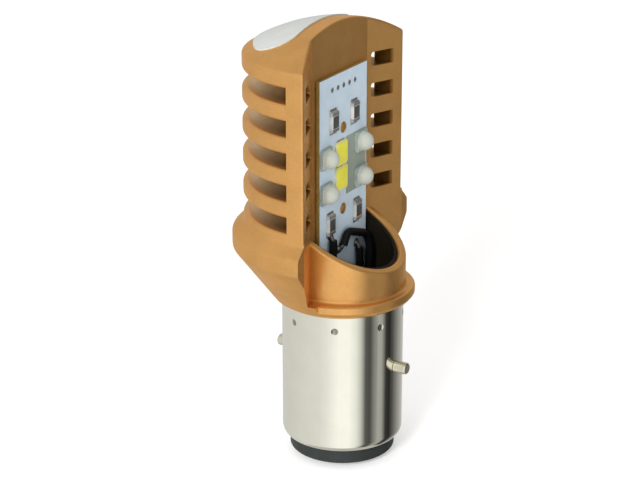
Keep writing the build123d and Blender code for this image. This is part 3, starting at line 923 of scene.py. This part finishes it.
class BULB_OT_resistors(Operator):
    """Models one chip resistor with end caps and solder, and copies it to the four places"""
    bl_idname = "bulb.resistors"
    bl_label = "Resistors"

    # Glaze: its distance from the body's edges in millimetres, and its height as a share of the caps'
    glaze_margin = 0.06
    glaze_height = 0.7
    # Solder: its height as a share of the resistor's, how much of that it loses on the way out,
    # its distance from the resistor's sides in millimetres, and how hollow it is at shares of its reach
    solder_height = 0.8
    solder_drop = 0.9
    solder_inset = 0.05
    hollows = ((0.25, 0.13), (0.5, 0.16), (0.75, 0.09))

    def execute(self, context):
        sizes, colours = settings(context)
        low, high = limits("resistor_upper_left")
        first = self.resistor(low, high, sizes, colours)
        solder = self.fillets(low, high, sizes, colours)
        made = [("upper_left", first, solder)]
        for place in ("upper_right", "lower_left", "lower_right"):
            offset = limits(f"resistor_{place}")[0] - low
            made.append((place, copy_to(first, f"chip_resistor_{place}", offset),
                         copy_to(solder, f"resistor_solder_{place}", offset)))
        for place, body, joint in made:
            complete(body, [f"resistor_{place}"])
            complete(joint)
        return {"FINISHED"}

    def resistor(self, low, high, sizes, colours):
        """Ceramic bar with a dark glazed field between two wrapped metal caps."""
        proud = sizes.cap_proud / MM
        cap = sizes.cap_length / MM

        def capped(face):
            return not low.z + cap < face.calc_center_median().z < high.z - cap

        piece = add_block("chip_resistor_upper_left", low + Vector((proud, proud, proud)),
                          high - Vector((proud, 0, proud)))
        coat_piece(piece,
                   plain_finish("resistor_ceramic", colours.resistor, rough=(0.5, 0.65), grain=0.15,
                                relief=0.004),
                   plain_finish("resistor_cap", colours.solder, rough=(0.25, 0.4), grain=0.3,
                                relief=0.008, metallic=0.95),
                   plain_finish("resistor_glaze", colours.coat, rough=(0.25, 0.38), grain=0.2,
                                relief=0.004))
        work_on(piece)
        for level in (low.z + cap, high.z - cap):
            bpy.ops.mesh.select_all(action="SELECT")
            bpy.ops.mesh.bisect(plane_co=(0, 0, level), plane_no=(0, 0, 1))
        pick(piece, "FACE", lambda face: capped(face) and face.normal.y < 0.5)
        bpy.ops.mesh.extrude_region_shrink_fatten(TRANSFORM_OT_shrink_fatten={"value": proud})
        pick(piece, "FACE", capped)
        paint(piece, 1)
        pick(piece, "FACE", lambda face: looks_forward(face) and not capped(face))
        bpy.ops.mesh.inset(thickness=self.glaze_margin, depth=proud * self.glaze_height)
        paint(piece, 2)
        return piece

    def fillets(self, low, high, sizes, colours):
        """Hollow-faced solder at both ends of a resistor."""
        reach = sizes.fillet_reach / MM
        rise = (high.y - low.y) * self.solder_height
        left, right = low.x + self.solder_inset, high.x - self.solder_inset

        def front_at(level):
            return lambda vertex: abs(vertex.co.z - level) < NEAR and vertex.co.y < FOOT

        def runs_out(edge):
            first, second = (vertex.co for vertex in edge.verts)
            return abs(first.z - second.z) > reach / 2 and min(first.y, second.y) < FOOT

        parts = []
        for end, way in ((low.z, -1), (high.z, 1)):
            far = end + way * reach
            part = add_block("solder", (left, -rise, min(end, far)), (right, 0, max(end, far)))
            work_on(part)
            pick(part, "VERT", front_at(far))
            bpy.ops.transform.translate(value=(0, rise * self.solder_drop, 0))
            pick(part, "EDGE", runs_out)
            bpy.ops.mesh.subdivide(number_cuts=len(self.hollows))
            for share, hollow in self.hollows:
                pick(part, "VERT", front_at(end + way * reach * share))
                bpy.ops.transform.translate(value=(0, hollow, 0))
            parts.append(part)
        piece = join("resistor_solder_upper_left", parts)
        coat_piece(piece, plain_finish("resistor_solder", colours.solder, rough=(0.2, 0.35), grain=0.3,
                                       relief=0.01, metallic=1.0))
        return piece


class BULB_OT_leads(Operator):
    """Finishes the leads and models their bare ends and solder joints"""
    bl_idname = "bulb.leads"
    bl_label = "Leads and joints"

    # Where each lead's insulation ends on the board, and the way its bare end runs on: (x, z), (x, z)
    ends = {
        "lead_common": ((-1.0, 19.7), (-0.5, -0.87)),
        "lead_high": ((4.3, 17.6), (0.0, 1.0)),
        "lead_low": ((-4.3, 21.6), (0.0, 1.0)),
    }
    # In millimetres: how far a bare end starts inside its insulation, and the height it comes down to
    inside = 0.3
    landing = 0.3
    # Share of a bare end's radius that its rims are rounded by
    rim = 0.35
    # A mound: its dome as a share of its radius, how flat it is, how much wider its foot is,
    # and in millimetres the foot's height and the unevenness of the solder
    dome = 0.8
    flatness = 0.75
    flare = 1.3
    foot = 0.03
    unevenness = 0.03

    def execute(self, context):
        sizes, colours = settings(context)
        insulation = plain_finish("lead_insulation", colours.lead, rough=(0.42, 0.55), grain=0.2,
                                  relief=0.006, sheen=0.2)
        tin = plain_finish("lead_tin", colours.joint, rough=(0.3, 0.45), grain=0.25, relief=0.015,
                           metallic=1.0)
        copper = plain_finish("lead_strands", colours.strands, rough=(0.35, 0.5), grain=0.12, relief=0.02,
                              metallic=1.0)
        dress(insulation, *self.ends, "contact_lead_left", "contact_lead_right", "ground_lead")
        radius = sizes.mound_radius / MM
        core = limits("lead_low")[0].y / 2
        for name, ((x, z), (run_x, run_z)) in self.ends.items():
            middle = Vector((x + run_x * radius, 0, z + run_z * radius))
            start = Vector((x - run_x * self.inside, core, z - run_z * self.inside))
            bare = self.bare_end(f"{name}_strands", sizes.strand_radius / MM, start,
                                 (middle.x, -self.landing, middle.z))
            coat_piece(bare, copper)
            complete(bare)
            mound = self.mound(f"{name}_joint", radius, middle)
            coat_piece(mound, tin)
            complete(mound, smooth=60)
        return {"FINISHED"}

    def bare_end(self, name, radius, start, end):
        """Tinned strands: a round bar with rounded rims."""
        piece = add_round(name, radius, start, end, 16)
        work_on(piece)
        pick(piece, "EDGE", lambda edge: any(len(face.verts) > 4 for face in edge.link_faces))
        bevel_picked(radius * self.rim)
        let_go()
        return piece

    def mound(self, name, radius, middle):
        """Flattened solder mound whose foot flares out on its pad."""
        piece = add_cap(name, radius * self.dome, (0, 0, 0), self.flatness, 28, 14)
        pick(piece, "EDGE", open_edge)
        extrude_rim(0)
        bpy.ops.transform.resize(value=(self.flare, 1, self.flare), center_override=(0, 0, 0))
        extrude_rim(self.foot)
        close_back()
        bpy.ops.transform.vertex_random(offset=self.unevenness, seed=4)
        bpy.ops.mesh.normals_make_consistent(inside=False)
        bpy.ops.transform.translate(value=(middle.x, -self.foot, middle.z))
        return piece


# Stage

class BULB_OT_stage(Operator):
    """Lays the pale floor and sets the light tent and the camera"""
    bl_idname = "bulb.stage"
    bl_label = "Stage"

    # Lengths of the stage, in metres
    floor_side = 8
    floor_drop = 0.0001
    tent_radius = 0.8
    tent_height = 2.4
    # Brightness round the tent as the plating mirrors it: (bearing from +X in degrees, brightness)
    tent = (
        (180, 0.8), (203, 1.0), (222, 1.0), (236, 0.82), (245, 0.55), (254, 0.1), (264, 0.07), (282, 0.39),
        (290, 0.35), (300, 0.04), (311, 0.02), (324, 0.12), (352, 0.38), (380, 0.6), (455, 0.62),
        (525, 0.72), (540, 0.8),
    )
    # Each light's place and size, and the point that all of them look at
    lamps = {
        "key": ((-0.6, -0.1, 0.33), 0.2),
        "fill": ((0.25, -0.6, 0.3), 0.5),
        "top": ((0.0, 0.1, 0.7), 0.6),
    }
    lamp_aim = (0, 0, 0.02)

    def execute(self, context):
        stage = context.scene.bulb_stage
        context.scene.view_settings.view_transform = "Standard"
        self.floor(stage)
        self.room(context, stage)
        self.drum()
        self.lights(stage)
        self.camera(context, stage)
        return {"FINISHED"}

    def floor(self, stage):
        """White sheet that glows a little and that mirrors don't see."""
        let_go()
        bpy.ops.mesh.primitive_plane_add(size=self.floor_side,
                                         location=(0, 0, FLOOR_LEVEL - self.floor_drop))
        floor = bpy.context.object
        floor.name = "floor"
        made = Finish("floor_sheet")
        made.set(Base_Color=(0.9, 0.9, 0.9, 1), Roughness=0.8, Emission_Color=(1, 1, 1, 1),
                 Emission_Strength=stage.floor_glow)
        coat_piece(floor, made)
        floor.visible_glossy = False

    def room(self, context, stage):
        world = bpy.data.worlds.new("white_room")
        world.use_nodes = True
        background = next(node for node in world.node_tree.nodes if node.type == "BACKGROUND")
        background.inputs["Color"].default_value = (1.0, 0.99, 0.97, 1)
        background.inputs["Strength"].default_value = stage.room
        context.scene.world = world

    def drum(self):
        """Round wall of the tent, which only mirrors see."""
        let_go()
        bpy.ops.mesh.primitive_cylinder_add(vertices=96, radius=self.tent_radius, depth=self.tent_height,
                                            end_fill_type="NOTHING")
        drum = bpy.context.object
        drum.name = "tent_wall"
        material = bpy.data.materials.new("tent_wall")
        material.use_nodes = True
        tree = material.node_tree
        tree.nodes.clear()
        place = add_node(tree, "ShaderNodeTexCoord")
        bearing = add_node(tree, "ShaderNodeTexGradient", {"gradient_type": "RADIAL"})
        ramp = add_node(tree, "ShaderNodeValToRGB")
        glow = add_node(tree, "ShaderNodeEmission")
        out = add_node(tree, "ShaderNodeOutputMaterial")
        tree.links.new(place.outputs["Object"], bearing.inputs["Vector"])
        tree.links.new(bearing.outputs["Color"], ramp.inputs["Fac"])
        tree.links.new(ramp.outputs["Color"], glow.inputs["Color"])
        tree.links.new(glow.outputs["Emission"], out.inputs["Surface"])
        set_stops(ramp, [((angle - 180) / 360, (level, level, level)) for angle, level in self.tent])
        drum.data.materials.append(material)
        for ray in ("camera", "diffuse", "shadow", "transmission"):
            setattr(drum, f"visible_{ray}", False)

    def lights(self, stage):
        for name, (place, size) in self.lamps.items():
            let_go()
            bpy.ops.object.light_add(type="AREA", location=place)
            light = bpy.context.object
            light.name = name
            light.data.shape = "DISK"
            light.data.size = size
            light.data.energy = getattr(stage, f"{name}_power")
            light.visible_glossy = False
            way = Vector(self.lamp_aim) - Vector(place)
            light.rotation_euler = way.to_track_quat("-Z", "Y").to_euler()

    def camera(self, context, stage):
        let_go()
        rise, turn = stage.elevation, stage.azimuth
        back = Vector((math.sin(turn) * math.cos(rise), -math.cos(turn) * math.cos(rise), math.sin(rise)))
        bpy.ops.object.camera_add(location=AIM * MM + back * stage.distance)
        camera = bpy.context.object
        camera.rotation_euler = back.to_track_quat("Z", "Y").to_euler()
        camera.data.sensor_width = 36
        camera.data.lens = stage.lens
        camera.data.clip_start = 0.01
        context.scene.camera = camera


class BULB_PT_panel(Panel):
    """Lists the bulb's pieces and the sizes and colours that can be changed"""
    bl_idname = "BULB_PT_panel"
    bl_label = "Bayonet LED bulb"
    bl_space_type = "VIEW_3D"
    bl_region_type = "UI"
    bl_category = "Bulb"

    def draw(self, context):
        for step in STEPS:
            self.layout.operator(step.bl_idname)
        for group in (context.scene.bulb_sizes, context.scene.bulb_colours, context.scene.bulb_stage):
            box = self.layout.box()
            for key in group.__annotations__:
                box.prop(group, key)


STEPS = (
    BULB_OT_casting,
    BULB_OT_base,
    BULB_OT_driver,
    BULB_OT_board,
    BULB_OT_test_pads,
    BULB_OT_leds,
    BULB_OT_yellow_chips,
    BULB_OT_resistors,
    BULB_OT_leads,
    BULB_OT_stage,
)
CLASSES = (BulbSizes, BulbColours, BulbStage, *STEPS, BULB_PT_panel)


def register():
    for item in CLASSES:
        bpy.utils.register_class(item)
    bpy.types.Scene.bulb_sizes = PointerProperty(type=BulbSizes)
    bpy.types.Scene.bulb_colours = PointerProperty(type=BulbColours)
    bpy.types.Scene.bulb_stage = PointerProperty(type=BulbStage)


def unregister():
    del bpy.types.Scene.bulb_sizes
    del bpy.types.Scene.bulb_colours
    del bpy.types.Scene.bulb_stage
    for item in reversed(CLASSES):
        bpy.utils.unregister_class(item)


def main():
    register()
    for step in STEPS:
        group, name = step.bl_idname.split(".")
        getattr(getattr(bpy.ops, group), name)()
    let_go()


if __name__ == "__main__":
    main()
